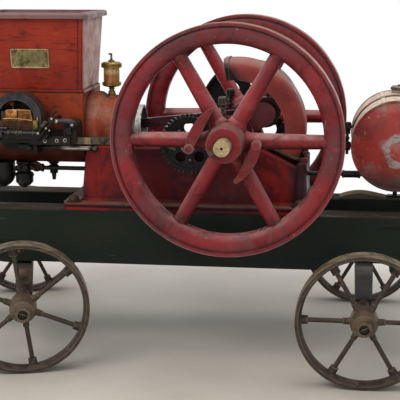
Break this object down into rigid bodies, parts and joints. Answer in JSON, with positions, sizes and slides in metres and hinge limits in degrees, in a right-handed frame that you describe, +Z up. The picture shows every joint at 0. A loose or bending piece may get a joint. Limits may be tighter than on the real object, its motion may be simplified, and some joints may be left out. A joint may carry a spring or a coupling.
{
  "type": "hit-and-miss engine",
  "caption": "Horizontal single-cylinder hit-and-miss farm engine with spoked flywheels, water hopper, magneto and fuel tank, on a timber hand cart with spoked iron wheels.",
  "frame": {"origin": "on the ground under the middle of the cart, the bounding box's bottom centre", "axes": "+X along the timbers towards the fuel tank, +Y across the cart away from the magneto side, +Z up"},
  "size_m": [1.62, 1.006, 0.9923],
  "materials": {
    "flywheel_red": "satin",
    "base_red": "satin",
    "cylinder_red": "satin",
    "tank_red": "matte",
    "beam_green": "matte",
    "timber": "matte",
    "cart_iron": "matte",
    "axle_steel": "matte",
    "black_iron": "matte",
    "shaft_steel": "satin",
    "piston_iron": "satin",
    "brass": "satin",
    "glass": "gloss",
    "linkage_steel": "matte",
    "cup_steel": "satin"
  },
  "bodies": {
    "cart": {"near_beam": "beam_green", "far_beam": "beam_green", "beam_board": "timber", "front_cross_timber": "timber", "turntable_plate": "cart_iron", "rear_bolster": "beam_green", "rear_axle": "axle_steel", "engine_base": "base_red", "near_bearing_cap": "base_red", "far_bearing_cap": "base_red", "cylinder": "cylinder_red", "cylinder_head": "cylinder_red", "hopper": "cylinder_red", "name_plate": "brass", "cam_stud": "shaft_steel", "crank_guard": "flywheel_red", "magneto_bracket": "black_iron", "magneto_magnets": "black_iron", "magneto_housing": "brass", "oiler": "brass", "oiler_glass": "glass", "grease_cups": "cup_steel", "mixer": "black_iron", "muffler": "black_iron", "drain_cock": "black_iron", "fuel_pipe": "black_iron", "fuel_tank": "tank_red", "tank_strap": "black_iron", "tank_legs": "black_iron"},
    "front_carriage": {"front_bolster": "cart_iron", "front_axle": "axle_steel", "king_bolt": "axle_steel"},
    "near_rear_wheel": {"near_rear_wheel": "cart_iron"},
    "far_rear_wheel": {"far_rear_wheel": "cart_iron"},
    "near_front_wheel": {"near_front_wheel": "cart_iron"},
    "far_front_wheel": {"far_front_wheel": "cart_iron"},
    "crank": {"crankshaft": "shaft_steel", "near_flywheel": "flywheel_red", "far_flywheel": "flywheel_red", "belt_pulley": "black_iron", "flywheel_keys": "shaft_steel", "crank_pinion": "black_iron"},
    "cam": {"cam_gear": "black_iron", "exhaust_cam": "linkage_steel"},
    "weight_left": {"governor_weight_left": "flywheel_red"},
    "weight_right": {"governor_weight_right": "flywheel_red"},
    "piston": {"piston": "piston_iron", "wrist_pin": "shaft_steel"},
    "rod": {"connecting_rod": "linkage_steel", "crankpin": "shaft_steel"},
    "push_rod": {"push_rod": "linkage_steel"},
    "rocker": {"rocker_arm": "linkage_steel"},
    "valve": {"exhaust_valve": "shaft_steel"},
    "latch_rod": {"latch_rod": "linkage_steel"},
    "oiler_lever": {"oiler_lever": "brass"}
  },
  "joints": [
    {"name": "steer", "type": "hinge", "parent": "cart", "child": "front_carriage", "pos_m": [-0.501, 0, 0.25], "axis": [0, 0, 1], "range_deg": [-50, 20]},
    {"name": "near_rear_roll", "type": "hinge", "parent": "cart", "child": "near_rear_wheel", "pos_m": [0.556, -0.424, 0.186], "axis": [0, 1, 0], "continuous": true},
    {"name": "far_rear_roll", "type": "hinge", "parent": "cart", "child": "far_rear_wheel", "pos_m": [0.556, 0.424, 0.186], "axis": [0, 1, 0], "continuous": true},
    {"name": "near_front_roll", "type": "hinge", "parent": "front_carriage", "child": "near_front_wheel", "pos_m": [-0.39126, -0.40955, 0.186], "axis": [-0.2588, 0.9659, 0], "continuous": true},
    {"name": "far_front_roll", "type": "hinge", "parent": "front_carriage", "child": "far_front_wheel", "pos_m": [-0.61074, 0.40955, 0.186], "axis": [-0.2588, 0.9659, 0], "continuous": true},
    {"name": "crank_spin", "type": "hinge", "parent": "cart", "child": "crank", "pos_m": [0.17, 0, 0.65], "axis": [0, 1, 0], "continuous": true},
    {"name": "cam_spin", "type": "hinge", "parent": "cart", "child": "cam", "pos_m": [0.04743, -0.161, 0.6208], "axis": [0, 1, 0], "continuous": true},
    {"name": "weight_left_swing", "type": "hinge", "parent": "crank", "child": "weight_left", "pos_m": [0.068, -0.323, 0.632], "axis": [0, -1, 0], "range_deg": [-4, 12]},
    {"name": "weight_right_swing", "type": "hinge", "parent": "crank", "child": "weight_right", "pos_m": [0.254, -0.323, 0.646], "axis": [0, -1, 0], "range_deg": [-4, 12]},
    {"name": "piston_slide", "type": "slide", "parent": "cart", "child": "piston", "axis": [1, 0, 0], "range_m": [-0.1843, 0.0097]},
    {"name": "rod_swing", "type": "hinge", "parent": "piston", "child": "rod", "pos_m": [-0.1927, 0, 0.65], "axis": [0, 1, 0], "range_deg": [-6.45, 18.45]},
    {"name": "push_rod_slide", "type": "slide", "parent": "cart", "child": "push_rod", "axis": [1, 0, 0], "range_m": [0, 0.007]},
    {"name": "rocker_swing", "type": "hinge", "parent": "cart", "child": "rocker", "pos_m": [-0.655, -0.105, 0.6208], "axis": [0, 0, 1], "range_deg": [0, 5.2]},
    {"name": "valve_slide", "type": "slide", "parent": "cart", "child": "valve", "axis": [-1, 0, 0], "range_m": [0, 0.0095]},
    {"name": "latch_rod_slide", "type": "slide", "parent": "cart", "child": "latch_rod", "axis": [1, 0, 0], "range_m": [-0.006, 0.006]},
    {"name": "oiler_lever_flip", "type": "hinge", "parent": "cart", "child": "oiler_lever", "pos_m": [-0.213, 0, 0.8483], "axis": [0, 1, 0], "range_deg": [0, 90]}
  ],
  "couplings": [
    {"joint": "cam_spin", "follows": "crank_spin", "ratio": -0.5},
    {"joint": "rocker_swing", "follows": "push_rod_slide", "rad_per_m": 12.66},
    {"joint": "valve_slide", "follows": "push_rod_slide", "ratio": 1.33}
  ]
}
